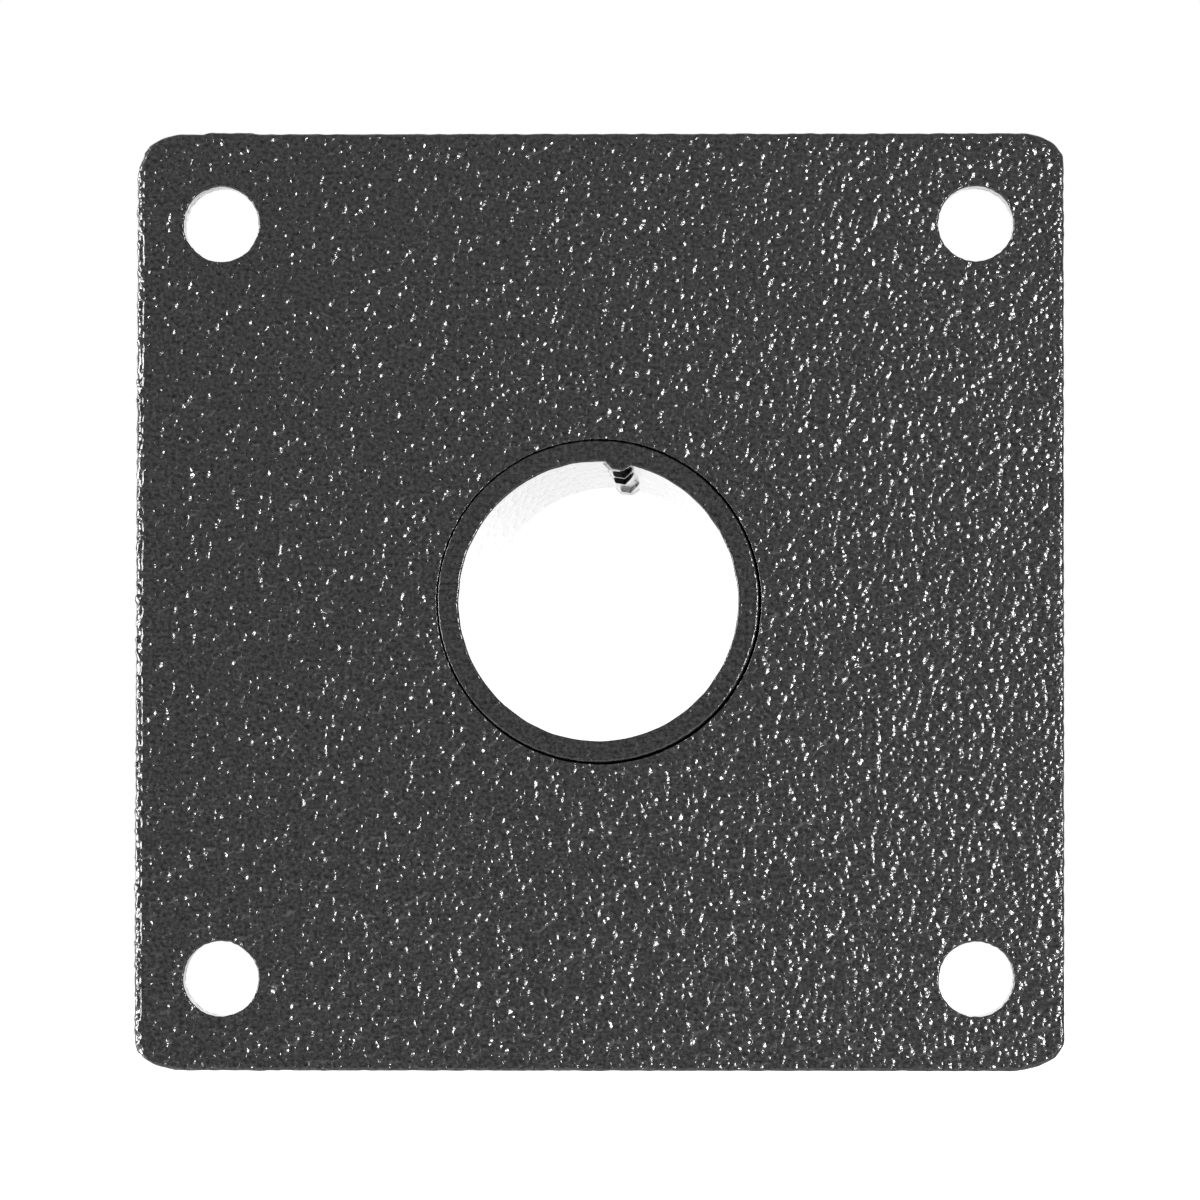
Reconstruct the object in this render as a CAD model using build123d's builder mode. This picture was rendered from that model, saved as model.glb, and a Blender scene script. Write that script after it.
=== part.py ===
"""Motor mounting bracket: a square steel plate welded round the end of a short length of tube.

The plate stands upright. Its front face is the plane Y = 0, facing -Y, and the tube runs back from
it along +Y. The origin is on the tube's axis at the front face, +X is to the right and +Z is up.
All sizes are in millimetres, and are those of the finished part with its coat of powder on.
"""

import os
from math import cos, pi, radians, sin, sqrt

from build123d import *

os.makedirs("parts", exist_ok=True)

# Powder coat. It adds to every outside size and takes from every hole.
coat = 0.1

# Bolt holes, one in each corner of the plate. The bare sizes are those of the steel.
bolt_pitch = 82.4
bare_bolt_hole_diameter = 8.33
bolt_rim_radius = 0.25

# Plate, sheared from flat bar, with the bolt holes this far in from its sides and its ends
bolt_to_side = 9.6
bolt_to_end = 10.0
bare_plate_thickness = 4.76
corner_radius = 4.0
front_edge_radius = 0.5
back_edge_radius = 0.3

# Tube, rolled from strip with a seam weld, its end flush with the plate's front face
bare_tube_diameter = 34.925
bare_tube_wall = 2.108
bare_tube_length = 101.6
tube_edge_radius = 0.2
tube_to_plate_gap = 0.18

# Flash of the seam weld, a ridge along the inside of the tube, to the right of the top
flash_angle = 7.4
flash_base_width = 2.7
flash_tip_width = 1.3
flash_height = 0.8
flash_tip_radius = 0.25

# Fillet weld behind the plate, laid in one pass round the tube, with a ripple for each puddle
weld_leg = 4.8
weld_crown = 0.45
weld_penetration = 0.6
ripple_pitch = 2.4
ripple_arc_radius = 4.0
ripple_groove_radius = 0.5
ripple_groove_depth = 0.3
ripple_lean = 14

# Finished sizes, with the coat on
bolt_hole_diameter = bare_bolt_hole_diameter - 2 * coat
plate_width = bolt_pitch + 2 * bolt_to_side + 2 * coat
plate_height = bolt_pitch + 2 * bolt_to_end + 2 * coat
plate_thickness = bare_plate_thickness + 2 * coat
tube_radius = bare_tube_diameter / 2 + coat
tube_wall = bare_tube_wall + 2 * coat
tube_length = bare_tube_length + 2 * coat
bore_radius = tube_radius - tube_wall
plate_hole_radius = tube_radius + tube_to_plate_gap


# Section of the fillet weld. It fills the corner behind the plate with a slightly full face, and
# its root is melted into the tube's wall and the rim of the plate's hole. The plate and the tube
# are both cut by it, so that the three pieces meet face to face.
toe_on_plate = (tube_radius + weld_leg, plate_thickness)
toe_on_tube = (tube_radius, plate_thickness + weld_leg)
weld_root = (tube_radius - weld_penetration, plate_thickness - weld_penetration)

with BuildSketch(Plane.XY) as weld_section:
    with BuildLine():
        Line(weld_root, toe_on_plate)
        SagittaArc(toe_on_plate, toe_on_tube, weld_crown)
        Line(toe_on_tube, weld_root)
    make_face()


# The plate is a rounded rectangle with its edges rolled over, a bolt hole in each corner and a
# hole in the middle that the tube stands in.
with BuildPart() as plate:
    with BuildSketch(Plane.XZ):
        RectangleRounded(plate_width, plate_height, corner_radius)
        with GridLocations(bolt_pitch, bolt_pitch, 2, 2):
            Circle(bolt_hole_diameter / 2, mode=Mode.SUBTRACT)
    extrude(amount=-plate_thickness)
    for side, edge_radius in ((0, front_edge_radius), (-1, back_edge_radius)):
        rims = plate.faces().sort_by(Axis.Y)[side].inner_wires()
        fillet([rim.edge() for rim in rims], bolt_rim_radius)
        fillet(plate.faces().sort_by(Axis.Y)[side].outer_wire().edges(), edge_radius)
    with BuildSketch(Plane.XZ):
        Circle(plate_hole_radius)
    extrude(amount=-plate_thickness, mode=Mode.SUBTRACT)
    revolve(weld_section.sketch, axis=Axis.Y, mode=Mode.SUBTRACT)


# The tube's wall is turned about its axis, with the saw burr broken off both ends. The flash of
# its seam weld is a ridge with a narrow tip, along the whole length of the bore.
flash_plane = Plane(
    origin=(0, 0, 0),
    x_dir=(cos(radians(flash_angle)), 0, -sin(radians(flash_angle))),
    z_dir=(0, -1, 0),
)
flash_base = bore_radius + tube_wall / 2
flash_tip = bore_radius - flash_height

with BuildPart() as tube:
    with BuildSketch(Plane.XY) as wall_section:
        with Locations((bore_radius + tube_wall / 2, tube_length / 2)):
            Rectangle(tube_wall, tube_length)
        fillet(wall_section.vertices(), tube_edge_radius)
    revolve(axis=Axis.Y)
    with BuildSketch(flash_plane) as flash_section:
        with BuildLine():
            Polyline(
                (flash_base_width / 2, flash_base),
                (flash_base_width / 2, bore_radius),
                (flash_tip_width / 2, flash_tip),
                (-flash_tip_width / 2, flash_tip),
                (-flash_base_width / 2, bore_radius),
                (-flash_base_width / 2, flash_base),
                close=True,
            )
        make_face()
        fillet(flash_section.vertices().group_by(Axis.Y)[0], flash_tip_radius)
    extrude(amount=-tube_length)
    revolve(weld_section.sketch, axis=Axis.Y, mode=Mode.SUBTRACT)


# One ripple of the weld is the edge of a puddle: an arc across the bead, bowed back along it.
# The arc leans into the bead, so that it follows the full face down towards both toes.
crown_middle = weld_leg / 2 + weld_crown / sqrt(2)
crown_plane = Plane(
    origin=(tube_radius + crown_middle, plate_thickness + crown_middle, 0),
    x_dir=(1, -1, 0),
    z_dir=(1, 1, 0),
)

with BuildPart(crown_plane.rotated((ripple_lean, 0, 0))) as ripple:
    with Locations((0, -ripple_arc_radius, ripple_groove_radius - ripple_groove_depth)):
        Torus(ripple_arc_radius, ripple_groove_radius, major_angle=180)


# The weld runs all the way round the tube, with its ripples evenly spaced.
ripple_count = round(2 * pi * (tube_radius + crown_middle) / ripple_pitch)

with BuildPart() as weld:
    revolve(weld_section.sketch, axis=Axis.Y)
    turns = [360 * i / ripple_count for i in range(ripple_count)]
    add([ripple.part.rotate(Axis.Y, turn) for turn in turns], mode=Mode.SUBTRACT)


plate.part.label = "plate"
tube.part.label = "tube"
weld.part.label = "weld"

export_step(plate.part, "parts/plate.step")
export_step(tube.part, "parts/tube.step")
export_step(weld.part, "parts/weld.step")
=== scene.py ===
"""Motor mounting bracket: a sheared steel plate with a length of tube standing in its middle, joined
by a fillet weld behind the plate, and all coated with one textured black powder. It is built round
the CAD frame, whose origin is on the tube's axis at the plate's front face, with the tube along +Y.
Shapes are worked out in millimetres and turned to metres when their mesh is made.
"""

import bpy
import numpy as np
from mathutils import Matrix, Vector
from mathutils.geometry import tessellate_polygon


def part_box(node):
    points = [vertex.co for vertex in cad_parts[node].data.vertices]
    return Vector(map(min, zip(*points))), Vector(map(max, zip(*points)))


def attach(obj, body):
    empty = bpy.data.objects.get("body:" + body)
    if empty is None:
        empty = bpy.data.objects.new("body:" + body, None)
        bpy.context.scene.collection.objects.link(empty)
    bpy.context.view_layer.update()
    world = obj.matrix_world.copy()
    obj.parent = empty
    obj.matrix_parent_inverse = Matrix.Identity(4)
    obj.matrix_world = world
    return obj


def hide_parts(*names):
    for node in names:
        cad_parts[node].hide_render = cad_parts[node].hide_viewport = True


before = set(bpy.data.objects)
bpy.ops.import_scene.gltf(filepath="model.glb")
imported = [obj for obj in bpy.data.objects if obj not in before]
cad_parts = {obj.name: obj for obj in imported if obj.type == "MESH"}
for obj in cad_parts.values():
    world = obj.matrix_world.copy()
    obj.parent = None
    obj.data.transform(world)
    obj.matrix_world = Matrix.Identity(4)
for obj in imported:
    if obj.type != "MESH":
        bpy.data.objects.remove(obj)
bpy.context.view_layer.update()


# ---------------------------------------------------------------------------------------------
# Plate: 3/16 in mild steel sheared from flat bar, its corners ground round by hand and its bolt
# holes drilled. The shear rolls the left edge over, and the powder runs together there in beads.
# ---------------------------------------------------------------------------------------------

mm = 0.001
plate_high = np.array(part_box("plate")[1]) / mm
plate_half_width = plate_high[0]
plate_half_height = plate_high[2]
plate_thickness = plate_high[1]
bolt_half_pitch = 41.2
bolt_hole_radius = 4.065
hole_for_tube_radius = 17.74


def smooth_step(value, low, high):
    """0 below low, 1 above high, and an S-shaped rise of 3t^2 - 2t^3 between them."""
    t = np.clip((value - low) / (high - low), 0, 1)
    return t * t * (3 - 2 * t)


def waves(distance, length, shortest, longest, seed, count=14):
    """Random waviness that closes on itself over length: the mean of cosines whose wavelengths lie
    between shortest and longest, each with a random phase, scaled to about -1 to 1."""
    rng = np.random.default_rng(seed)
    turns = rng.integers(int(length / longest) + 1, int(length / shortest) + 2, count)
    phases = rng.uniform(0, 2 * np.pi, count)
    angles = 2 * np.pi * distance[..., None] / length * turns + phases
    return np.cos(angles).sum(-1) * np.sqrt(2 / count) / 2


def beads(u, v, centres, radii):
    """Height from 0 to 1 of the tallest bead at each place (u, v): a bead is a dome of height
    sqrt(1 - d^2), where d is the distance from its centre in bead radii."""
    gap = (u[..., None] - centres[:, 0]) ** 2 + (v[..., None] - centres[:, 1]) ** 2
    return np.sqrt(np.clip(1 - gap / radii**2, 0, 1)).max(-1)


def corner_curve(along_side, along_end, bend_from_side, bend_from_end, count=40):
    """A ground corner as distances from the side and from the end: the parabola that leaves the
    side at along_side, is drawn towards the bend point, and meets the end at along_end."""
    t = np.linspace(0, 1, count)
    from_side = 2 * t * (1 - t) * bend_from_side + t**2 * along_end
    from_end = (1 - t) ** 2 * along_side + 2 * t * (1 - t) * bend_from_end
    return np.stack([from_side, from_end], 1)


def plate_outline():
    """The plate's outline seen from the front, counterclockwise from the top left corner: the four
    ground corners, joined by straight sheared sides."""
    half = np.array([plate_half_width, plate_half_height])
    top_left = corner_curve(5.0, 4.9, 0.42, 0.4)
    bottom_left = corner_curve(3.4, 5.8, 0.45, 0.3)
    bottom_right = corner_curve(3.1, 5.6, 0.72, 0.6)
    top_right = corner_curve(3.6, 4.2, 0.35, 0.5)
    return np.concatenate([
        (half - top_left[::-1]) * (-1, 1),
        (half - bottom_left) * (-1, -1),
        (half - bottom_right[::-1]) * (1, -1),
        half - top_right,
    ])


def spaced_along(outline, spacing_at):
    """Points along a closed outline, with their distance from its start and their outward normals.
    spacing_at gives the wanted spacing at a point, and the points are placed at equal shares of the
    integral of one over it."""
    closed = np.vstack([outline, outline[:1]])
    steps = np.linalg.norm(np.diff(closed, axis=0), axis=1)
    reach = np.concatenate([[0], np.cumsum(steps)])
    fine = np.linspace(0, reach[-1], 20000)
    points = np.stack([np.interp(fine, reach, closed[:, i]) for i in (0, 1)], 1)
    share = np.concatenate([[0], np.cumsum(np.diff(fine) / spacing_at(points)[:-1])])
    wanted = np.linspace(0, share[-1], int(share[-1]) + 1)[:-1]
    distance = np.interp(wanted, share, fine)
    points = np.stack([np.interp(distance, fine, points[:, i]) for i in (0, 1)], 1)
    ahead = np.roll(points, -1, 0) - np.roll(points, 1, 0)
    normals = np.stack([ahead[:, 1], -ahead[:, 0]], 1) / np.linalg.norm(ahead, axis=1)[:, None]
    return points, distance, normals, reach[-1]


def closed_strip(loops):
    """Quads between neighbouring closed loops of equal count, given as (loop, point) numbers."""
    rows, count = loops
    here = np.arange(rows * count).reshape(rows, count)
    after = np.roll(here, -1, 1)
    return np.stack([here[:-1], here[1:], after[1:], after[:-1]], -1).reshape(-1, 4)


def joined_up(rows, count):
    """The quads of closed_strip, and those that join the last loop to the first: its numbers are
    taken modulo the number of points, so that a loop past the last one is the first."""
    return closed_strip((rows + 1, count)) % (rows * count)


def as_points(x, y, z):
    """Points from three arrays of coordinates, which are stretched to one shape and stacked."""
    return np.stack(np.broadcast_arrays(x, y, z), -1)


def flat_face(loops, depth_is_front):
    """Triangles over a flat face from its outer loop and its holes, each a list of point numbers and
    places. The face looks along -Y at the front and along +Y at the back."""
    outlines = [[Vector((p[0], p[2], 0)) for p in places] for _, places in loops]
    numbers = np.concatenate([loop for loop, _ in loops])
    triangles = numbers[np.array(tessellate_polygon(outlines))]
    places = np.concatenate([p for _, p in loops])
    lookup = np.zeros((numbers.max() + 1, 3))
    lookup[numbers] = places
    a, b, c = (lookup[triangles[:, i]] for i in range(3))
    towards = np.cross(b - a, c - a)[:, 1]
    wrong = towards > 0 if depth_is_front else towards < 0
    triangles[wrong] = triangles[wrong][:, ::-1]
    return triangles


def make_mesh(name, points, curved, *flats):
    """A named mesh object at the origin from points in millimetres. The faces of curved are shaded
    smooth, and those of flats are plane, so that no light bends across them."""
    faces = curved.tolist() + [face for flat in flats for face in flat.tolist()]
    mesh = bpy.data.meshes.new(name)
    mesh.from_pydata((points * mm).tolist(), [], faces)
    mesh.polygons.foreach_set("use_smooth", np.arange(len(faces)) < len(curved))
    mesh.validate()
    piece = bpy.data.objects.new(name, mesh)
    bpy.context.scene.collection.objects.link(piece)
    return piece


# Outline, with the powder's small waves on the side faces and a run of it left on the top edge
outline, run, outward, girth = spaced_along(
    plate_outline(), lambda p: np.where(p[:, 0] < 0.2 - plate_half_width, 0.11, 0.34)
)
on_left = smooth_step(-outward[:, 0], 0.6, 0.95)
on_right = smooth_step(outward[:, 0], 0.6, 0.95)
on_top = smooth_step(outward[:, 1], 0.6, 0.95)
on_bottom = smooth_step(-outward[:, 1], 0.6, 0.95)
lean_of_left_side = 0.33 * (outline[:, 1] / plate_half_height + 1) / 2
outline[:, 0] += lean_of_left_side * smooth_step(-outline[:, 0], 40, 47)
powder_run = smooth_step(outline[:, 0], -43.2, -42.4) * smooth_step(-outline[:, 0], 37.2, 38.0)
drawn_in = (
    0.05
    + 0.04 * waves(run, girth, 1.5, 12, 3)
    + on_left * 0.05 * waves(run, girth, 1.2, 4, 4)
    + on_top * 0.14 * (1 - powder_run)
)
outline = outline - outward * np.clip(drawn_in, 0, None)[:, None]

# Section across the edge: a rounded front corner, the side face and a small back corner
front_round = 0.5 + 0.45 * on_left - 0.12 * on_bottom
back_round = 0.3
quarter = np.linspace(0, np.pi / 2, 15)[:, None]
front_inward = front_round * (1 - np.sin(quarter))
front_depth = front_round * (1 - np.cos(quarter))
side_height = plate_thickness - back_round - front_round
side_depth = front_round + np.linspace(0.2, 1, 5)[:, None] * side_height
back_turn = np.linspace(0, np.pi / 2, 5)[1:, None]
back_inward = back_round * (1 - np.cos(back_turn))
back_depth = plate_thickness - back_round * (1 - np.sin(back_turn))
flat = np.zeros_like(run)
inward = np.vstack([front_inward, side_depth * 0, back_inward + flat])
depth = np.vstack([front_depth, side_depth, back_depth + flat])

# Beads of powder stand on the rolled edge, one for each bead_spacing of the girth. They are there
# on the other sides too, but hardly stand out.
bead_spacing = 0.42
rng = np.random.default_rng(21)
bead_count = int(girth / bead_spacing)
bead_centres = np.stack([rng.uniform(0, girth, bead_count), rng.normal(0.45, 0.28, bead_count)], 1)
bead_radii = rng.uniform(0.22, 0.5, bead_count)
across = np.linspace(0, 1.3, 15)[:, None]
rows_past_corner = len(side_depth) + len(back_turn)
section_place = np.vstack([across, np.full((rows_past_corner, 1), 1.6)]) + flat
bead_height = np.zeros_like(section_place)
for start in range(0, len(run), 200):
    part = slice(start, start + 200)
    near = np.abs(bead_centres[:, 0] - run[part].mean()) < np.ptp(run[part]) / 2 + 1
    bead_height[:, part] = beads(
        np.broadcast_to(run[part], section_place[:, part].shape),
        section_place[:, part],
        bead_centres[near],
        bead_radii[near],
    )
bead_size = 0.03 + 0.16 * on_left + 0.03 * on_right
sunk = (1 - bead_height) * bead_size * smooth_step(section_place, 0.0, 0.15)
sunk[-rows_past_corner:] *= 0.3
lean = np.vstack([quarter, np.full((rows_past_corner, 1), np.pi / 2)]) + flat
inward = inward + sunk * np.sin(lean)
depth = depth + sunk * np.cos(lean)
ring = outline[None] - outward[None] * inward[..., None]
edge_points = as_points(ring[..., 0], depth, ring[..., 1])
plate_parts = [edge_points]


def hole_wall(centre, radius, rim, depths, seed, lump, points_round):
    """The wall of a round hole from the front face to the back one: a rounded rim, whose powder
    has small lumps, and then the wall down to the last of depths. Each row is (widening, depth)."""
    angle = np.linspace(0, 2 * np.pi, points_round, endpoint=False)
    turn = np.linspace(0, np.pi / 2, 6)
    widening = np.concatenate([rim * (1 - np.sin(turn)), [w for w, _ in depths]])[:, None]
    down = np.concatenate([rim * (1 - np.cos(turn)), [d for _, d in depths]])[:, None]
    around = 2 * np.pi * radius
    uneven = lump * waves(angle * radius, around, 0.8, 3, seed, 24) + lump * waves(
        angle * radius, around, 4, 14, seed + 1
    )
    reach = radius + widening + uneven * (down > 0) * (down < plate_thickness - 0.01)
    return as_points(centre[0] + reach * np.cos(angle), down, centre[1] + reach * np.sin(angle))


# Bolt holes
bolt_wall = [(0.0, 1.2), (0.0, 3.8), (0.0, plate_thickness - 0.25), (0.07, plate_thickness - 0.07)]
bolt_wall.append((0.25, plate_thickness))
for number, (side, end) in enumerate(((-1, 1), (1, 1), (-1, -1), (1, -1))):
    centre = (side * bolt_half_pitch, end * bolt_half_pitch)
    plate_parts.append(
        hole_wall(centre, bolt_hole_radius + 0.03, 0.22, bolt_wall, 40 + 2 * number, 0.03, 160)
    )

# Hole that the tube stands in. It was cut by hand, so the gap round the tube is uneven, and it
# opens at the back into the root of the weld.
weld_toe_radius = 22.3
tube_wall_rows = [(0.0, 1.0), (0.0, 4.3), (weld_toe_radius - hole_for_tube_radius, plate_thickness)]
tube_hole = hole_wall((0.07, -0.05), hole_for_tube_radius, 0.1, tube_wall_rows, 60, 0.02, 720)
plate_parts.append(tube_hole)

plate_points = np.concatenate([part.reshape(-1, 3) for part in plate_parts])
starts = np.cumsum([0] + [part.shape[0] * part.shape[1] for part in plate_parts])
strips = []
front_loops = []
back_loops = []
for number, (start, part) in enumerate(zip(starts, plate_parts)):
    rows, count = part.shape[:2]
    quads = closed_strip((rows, count)) + start
    strips.append(quads if number == 0 else quads[:, ::-1])
    front_loops.append((start + np.arange(count), part[0]))
    back_loops.append((start + (rows - 1) * count + np.arange(count), part[-1]))
plate_piece = make_mesh(
    "powder_coated_plate",
    plate_points,
    np.concatenate(strips),
    flat_face(front_loops, True),
    flat_face(back_loops, False),
)


def linear(hex_colour):
    """The linear RGBA of an sRGB hex colour, by the sRGB curve."""
    levels = np.array([int(hex_colour[i : i + 2], 16) for i in (1, 3, 5)]) / 255
    lit = np.where(levels <= 0.04045, levels / 12.92, ((levels + 0.055) / 1.055) ** 2.4)
    return (*lit.tolist(), 1.0)


def add_node(tree, kind, inputs=None, **settings):
    """Adds a node, sets its properties, then links each input that is given a socket and sets the
    others to their value."""
    node = tree.nodes.new(kind)
    for name, value in settings.items():
        setattr(node, name, value)
    for name, value in (inputs or {}).items():
        if isinstance(value, bpy.types.NodeSocket):
            tree.links.new(value, node.inputs[name])
        else:
            node.inputs[name].default_value = value
    return node


def powder_coat(name, relief, streak=0.0, stretch=1.0):
    """Textured polyester powder coat, sprayed and baked: a charcoal skin with round glossy grains
    about 0.7 mm apart, with painted shade that darkens its colour in the hollows between them.
    It gives the eye a dark, finely mottled ground and, where a grain's flank meets the light, a
    small bright point. relief is the height of the grains in millimetres. streak adds the straight
    marks of a saw under a thin coat. stretch draws the grains out along the tube, where they are
    too fine to show in a bore seen end-on."""
    material = bpy.data.materials.new(name)
    material.use_nodes = True
    tree = material.node_tree
    tree.nodes.clear()
    here = add_node(tree, "ShaderNodeTexCoord").outputs["Object"]
    drawn_out = add_node(
        tree, "ShaderNodeMapping", {"Vector": here, "Scale": (1, 1 / stretch, 1)}
    )
    place = drawn_out.outputs[0]
    grains = add_node(
        tree,
        "ShaderNodeTexVoronoi",
        {"Vector": place, "Scale": 1 / (0.72 * mm), "Smoothness": 0.3, "Randomness": 1.0},
        feature="SMOOTH_F1",
    )
    fine = add_node(
        tree,
        "ShaderNodeTexNoise",
        {"Vector": place, "Scale": 1 / (0.42 * mm), "Detail": 2.0, "Roughness": 0.6},
    )
    size = add_node(
        tree,
        "ShaderNodeTexNoise",
        {"Vector": place, "Scale": 1 / (1.6 * mm), "Detail": 1.0, "Roughness": 0.5},
    )
    tall = add_node(
        tree,
        "ShaderNodeMapRange",
        {
            "Value": size.outputs["Fac"],
            "From Min": 0.35,
            "From Max": 0.68,
            "To Min": -0.7,
            "To Max": -2.4,
        },
    )
    square = add_node(
        tree,
        "ShaderNodeMath",
        {0: grains.outputs["Distance"], 1: grains.outputs["Distance"]},
        operation="MULTIPLY",
    )
    dome = add_node(
        tree, "ShaderNodeMath", {0: square.outputs[0], 1: tall.outputs[0]}, operation="MULTIPLY"
    )
    height = add_node(
        tree,
        "ShaderNodeMath",
        {0: fine.outputs["Fac"], 1: 0.55, 2: dome.outputs[0]},
        operation="MULTIPLY_ADD",
    )
    if streak:
        along = add_node(tree, "ShaderNodeMapping", {"Vector": place, "Scale": (0.12, 1.0, 1.0)})
        marks = add_node(
            tree,
            "ShaderNodeTexNoise",
            {"Vector": along.outputs[0], "Scale": 1 / (0.35 * mm), "Detail": 1.0},
        )
        height = add_node(
            tree,
            "ShaderNodeMath",
            {0: marks.outputs["Fac"], 1: streak / relief, 2: height.outputs[0]},
            operation="MULTIPLY_ADD",
        )
    bump = add_node(
        tree,
        "ShaderNodeBump",
        {"Height": height.outputs[0], "Strength": 1.0, "Distance": relief * mm},
    )
    # Painted shade: the base colour goes from #202021 on the grains down to #040404 in the hollows
    # between them, set by the same fine noise that shapes the bump.
    painted_shade_in_hollows = add_node(
        tree,
        "ShaderNodeMapRange",
        {"Value": fine.outputs["Fac"], "From Min": 0.38, "From Max": 0.66},
    )
    colour = add_node(
        tree,
        "ShaderNodeMix",
        {0: painted_shade_in_hollows.outputs[0], 6: linear("#040404"), 7: linear("#202021")},
        data_type="RGBA",
    )
    skin = add_node(
        tree,
        "ShaderNodeBsdfPrincipled",
        {"Base Color": colour.outputs[2], "Roughness": 0.17, "IOR": 1.42, "Normal": bump.outputs[0]},
    )
    add_node(tree, "ShaderNodeOutputMaterial", {"Surface": skin.outputs[0]})
    return material


plate_piece.data.materials.append(powder_coat("textured_powder_coat", 0.105))
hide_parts("plate")
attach(plate_piece, "root")


# ---------------------------------------------------------------------------------------------
# Tube: 1-3/8 in tube, rolled from strip and seam-welded, sawn off square. The flash of its seam
# runs along the bore in uneven teeth. Its end is flush with the plate, and its coat is thinner.
# ---------------------------------------------------------------------------------------------

tube_high = np.array(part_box("tube")[1]) / mm
tube_radius = tube_high[0]
tube_length = tube_high[1]
bore_radius = 15.2545
flash_angle = np.radians(90 - 7.4)

# Angles round the tube, closer together across the flash
dense = np.linspace(flash_angle - 0.16, flash_angle + 0.16, 120, endpoint=False)
wide = np.linspace(flash_angle + 0.16, flash_angle - 0.16 + 2 * np.pi, 480, endpoint=False)
angle = np.concatenate([dense, wide])
arc = angle * tube_radius
round_tube = 2 * np.pi * tube_radius

# Outer wall and outer rim, from the far end to the front
edge = 0.22
turn = np.linspace(0, np.pi / 2, 6)[:, None]
outer_depth = np.array([tube_length - edge, 60, 20, 6, 2.5, 0.9])[:, None]
outer_rim_in = edge * (1 - np.cos(turn))
outer_rim_depth = edge * (1 - np.sin(turn))
far_rim_in = edge * (1 - np.sin(turn))[:-1]
far_rim_depth = tube_length - edge * (1 - np.cos(turn))[:-1]
rim_lumps = 0.03 * waves(arc, round_tube, 0.8, 3, 70, 24)
rim_waves = 0.04 * waves(arc, round_tube, 5, 20, 71)
rim_uneven = 0.05 + rim_lumps + rim_waves
outer_reach = np.vstack([
    tube_radius - far_rim_in + 0 * arc,
    tube_radius + 0 * outer_depth + 0 * arc,
    tube_radius - outer_rim_in - rim_uneven * np.sin(turn),
])
outer_down = np.vstack([far_rim_depth + 0 * arc, outer_depth + 0 * arc, outer_rim_depth + 0 * arc])

# End face, sawn and then coated, a little uneven across its width
end_share = np.linspace(0, 1, 9)[1:-1, None]
end_outer = tube_radius - edge - rim_uneven
end_inner = bore_radius + edge
end_reach = end_outer + (end_inner - end_outer) * end_share
end_down = 0.02 + 0.012 * waves(arc, round_tube, 1.0, 5, 72, 24) * np.ones_like(end_share)

# Bore, from the front to the far end, with the flash standing in from its wall
bore_rows = 100
bore_depth = np.concatenate([
    edge * (1 - np.sin(np.pi / 2 - turn[:, 0])),
    np.linspace(1.0, tube_length - 1.0, bore_rows),
    tube_length - edge * (1 - np.sin(turn[:, 0])),
])[:, None]
rim_round = np.concatenate([
    edge * (1 - np.cos(np.pi / 2 - turn[:, 0])),
    np.zeros(bore_rows),
    edge * (1 - np.cos(turn[:, 0])),
])[:, None]
teeth_at = np.array([9.0, 30.0, 66.0])
behind = bore_depth[..., None] - teeth_at
teeth = (smooth_step(behind, 0, 1.5) * np.exp(-np.clip(behind, 0, None) / 9)).sum(-1)
from_flash = (angle - flash_angle) * bore_radius
swing = 0.18 * waves(bore_depth[:, 0], tube_length * 1.3, 9, 40, 75)[:, None] + 0.45 * teeth
half_base = 1.35 + 0.1 * teeth
half_tip = 0.6
slope = np.clip((half_base - np.abs(from_flash + swing)) / (half_base - half_tip), 0, 1)
ripples = 0.06 * waves(bore_depth[:, 0], tube_length * 1.3, 3, 8, 76)[:, None]
flash = (0.72 + 0.75 * teeth + ripples) * slope**0.8
bore_uneven = 0.03 * waves(arc, round_tube, 3, 20, 77)
bore_reach = bore_radius + rim_round + bore_uneven - flash
bore_down = bore_depth + 0 * arc

# Far end face, back to where the outer wall began
far_share = np.linspace(0, 1, 4)[1:-1, None]
far_reach = (bore_radius + edge) * (1 - far_share) + (tube_radius - edge) * far_share - flash[-1] * (
    1 - far_share
)
far_down = tube_length + 0 * far_reach

reach = np.vstack([outer_reach, end_reach, bore_reach, far_reach])
down = np.vstack([outer_down, end_down, bore_down, far_down])
tube_loops = as_points(reach * np.cos(angle), down, reach * np.sin(angle))
tube_faces = joined_up(*tube_loops.shape[:2])
tube_piece = make_mesh("powder_coated_tube", tube_loops.reshape(-1, 3), tube_faces)
tube_piece.data.materials.append(powder_coat("thin_powder_coat", 0.05, 0.04))
tube_piece.data.materials.append(powder_coat("sprayed_into_the_bore", 0.07, stretch=14))
face_row = np.arange(len(tube_faces)) // len(angle)
first_bore_row = len(outer_reach) + len(end_reach) + len(turn)
in_bore = (face_row >= first_bore_row) & (face_row < first_bore_row + bore_rows)
tube_piece.data.polygons.foreach_set("material_index", in_bore.astype(np.int32))
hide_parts("tube")
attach(tube_piece, "root")


# ---------------------------------------------------------------------------------------------
# Weld: one pass of MIG fillet weld round the tube, behind the plate, under the same coat. Each
# puddle froze in an arc, so the bead looks like a row of coins laid over one another.
# ---------------------------------------------------------------------------------------------

weld_leg = 4.8
weld_crown = 0.4
weld_root = 0.6
ripple_pitch = 2.9
ripple_arc_radius = 4.2
coin_height = 0.34
coin_rise = 0.82
weld_angle = np.linspace(0, 2 * np.pi, 1400, endpoint=False)
across_bead = np.linspace(0, 1, 25)[:, None]
middle_radius = tube_radius + weld_leg / 2
ripple_count = round(2 * np.pi * middle_radius / ripple_pitch)
sideways = (across_bead - 0.5) * weld_leg * np.sqrt(2)
bow = ripple_arc_radius - np.sqrt(ripple_arc_radius**2 - sideways**2)
phase = (weld_angle * ripple_count / (2 * np.pi) + bow / ripple_pitch) % 1
coin = smooth_step(phase, 0, coin_rise) * (1 - smooth_step(phase, coin_rise, 1.0))
fullness = 4 * across_bead * (1 - across_bead)
weld_arc = weld_angle * middle_radius
weld_round = 2 * np.pi * middle_radius
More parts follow.
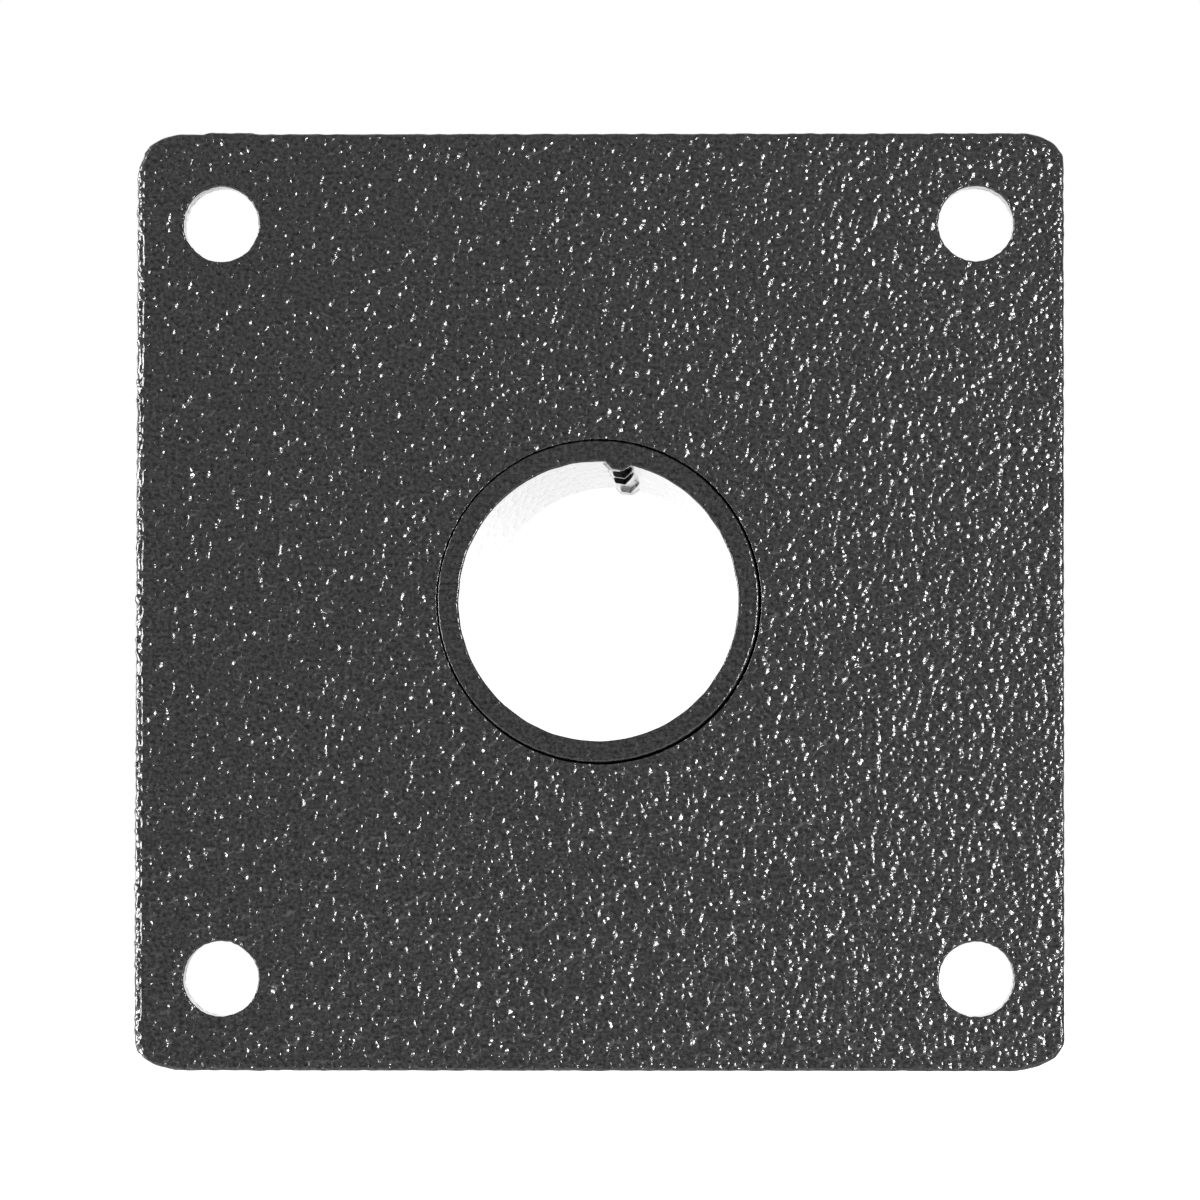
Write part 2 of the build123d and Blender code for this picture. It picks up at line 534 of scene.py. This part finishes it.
crown = fullness * (weld_crown + 0.12 * waves(weld_arc, weld_round, 4, 30, 80))
stand = crown + coin_height * (coin - 0.6) * np.clip(fullness * 1.6, 0, 1)
toe_wave = 0.12 * (coin - 0.5) + 0.08 * waves(weld_arc, weld_round, 5, 25, 81)
weld_reach = tube_radius + weld_leg * (1 - across_bead) + stand / np.sqrt(2)
weld_down = plate_thickness + weld_leg * across_bead + stand / np.sqrt(2)
weld_reach = weld_reach + toe_wave * (1 - across_bead) ** 3
weld_down = weld_down + toe_wave * across_bead**3
root = np.ones((1, len(weld_angle)))
weld_reach = np.vstack([weld_reach, (tube_radius - weld_root) * root])
weld_down = np.vstack([weld_down, (plate_thickness - weld_root) * root])
weld_loops = as_points(weld_reach * np.cos(weld_angle), weld_down, weld_reach * np.sin(weld_angle))
weld_faces = joined_up(*weld_loops.shape[:2])[:, ::-1]
weld_piece = make_mesh("fillet_weld", weld_loops.reshape(-1, 3), weld_faces)
weld_piece.data.materials.append(powder_coat("powder_coat_on_weld", 0.1))
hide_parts("weld")
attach(weld_piece, "root")


# ---------------------------------------------------------------------------------------------
# Studio: the bracket hangs square-on to the camera over a white sweep. A softbox to the right of
# the camera lights the plate, a strip on the left grazes its rolled edge, and a panel stands behind.
# ---------------------------------------------------------------------------------------------

scene = bpy.context.scene
scene.view_settings.view_transform = "Standard"

camera_data = bpy.data.cameras.new("camera")
camera_data.sensor_width = 36
camera_distance = 0.733
field_at_face = 0.1309
camera_data.lens = 36 * camera_distance / field_at_face
camera = bpy.data.objects.new("camera", camera_data)
camera.location = (0.0125, -camera_distance, -0.0083)
aim = Vector((0.0002, 0, 0.00014)) - camera.location
camera.rotation_euler = aim.to_track_quat("-Z", "Y").to_euler()
scene.collection.objects.link(camera)
scene.camera = camera


def soft_light(name, place, towards, width, height, radiance):
    """A rectangular softbox of even radiance, facing a point and unseen by the camera. A lamp's
    power in watts is its radiance times its area times pi."""
    lamp = bpy.data.lights.new(name, "AREA")
    lamp.shape = "RECTANGLE"
    lamp.size = width
    lamp.size_y = height
    lamp.energy = radiance * width * height * np.pi
    light = bpy.data.objects.new(name, lamp)
    light.location = place
    light.rotation_euler = (Vector(towards) - Vector(place)).to_track_quat("-Z", "Y").to_euler()
    light.visible_camera = False
    scene.collection.objects.link(light)


soft_light("softbox_right", (0.42, -0.62, -0.06), (0, 0, 0), 0.16, 0.2, 105)
soft_light("strip_left", (-0.6, -0.06, 0.0), (0, 0.02, 0), 0.34, 0.5, 34)
soft_light("panel_behind", (0, 1.1, 0), (0, 0, 0), 0.7, 0.7, 0.9)

world = bpy.data.worlds.new("white_surround")
world.use_nodes = True
surround = world.node_tree
surround.nodes.clear()
ray = add_node(surround, "ShaderNodeLightPath")
seen_or_through = add_node(
    surround,
    "ShaderNodeMath",
    {0: ray.outputs["Is Camera Ray"], 1: ray.outputs["Is Transmission Ray"]},
    operation="MAXIMUM",
)
seen = add_node(
    surround,
    "ShaderNodeMath",
    {0: seen_or_through.outputs[0], 1: ray.outputs["Is Glossy Ray"]},
    operation="MAXIMUM",
)
ambient = add_node(surround, "ShaderNodeBackground", {"Color": (1, 1, 1, 1), "Strength": 0.5})
white = add_node(surround, "ShaderNodeBackground", {"Color": (1, 1, 1, 1), "Strength": 1.0})
either = add_node(
    surround,
    "ShaderNodeMixShader",
    {0: seen.outputs[0], 1: ambient.outputs[0], 2: white.outputs[0]},
)
add_node(surround, "ShaderNodeOutputWorld", {"Surface": either.outputs[0]})
scene.world = world

floor_reach = 6
floor_height = -0.3
floor_corners = [(-1, -1), (1, -1), (1, 1), (-1, 1)]
floor_mesh = bpy.data.meshes.new("floor")
floor_mesh.from_pydata(
    [(x * floor_reach, y * floor_reach, floor_height) for x, y in floor_corners],
    [],
    [(0, 1, 2, 3)],
)
floor = bpy.data.objects.new("floor", floor_mesh)
scene.collection.objects.link(floor)
paper = bpy.data.materials.new("white_paper")
paper.use_nodes = True
paper_tree = paper.node_tree
paper_tree.nodes.clear()
paper_ray = add_node(paper_tree, "ShaderNodeLightPath")
matt = add_node(paper_tree, "ShaderNodeBsdfDiffuse", {"Color": (0.8, 0.8, 0.8, 1)})
glow = add_node(
    paper_tree,
    "ShaderNodeEmission",
    {"Color": (1, 1, 1, 1), "Strength": paper_ray.outputs["Is Camera Ray"]},
)
lit = add_node(paper_tree, "ShaderNodeAddShader", {0: matt.outputs[0], 1: glow.outputs[0]})
add_node(paper_tree, "ShaderNodeOutputMaterial", {"Surface": lit.outputs[0]})
floor_mesh.materials.append(paper)
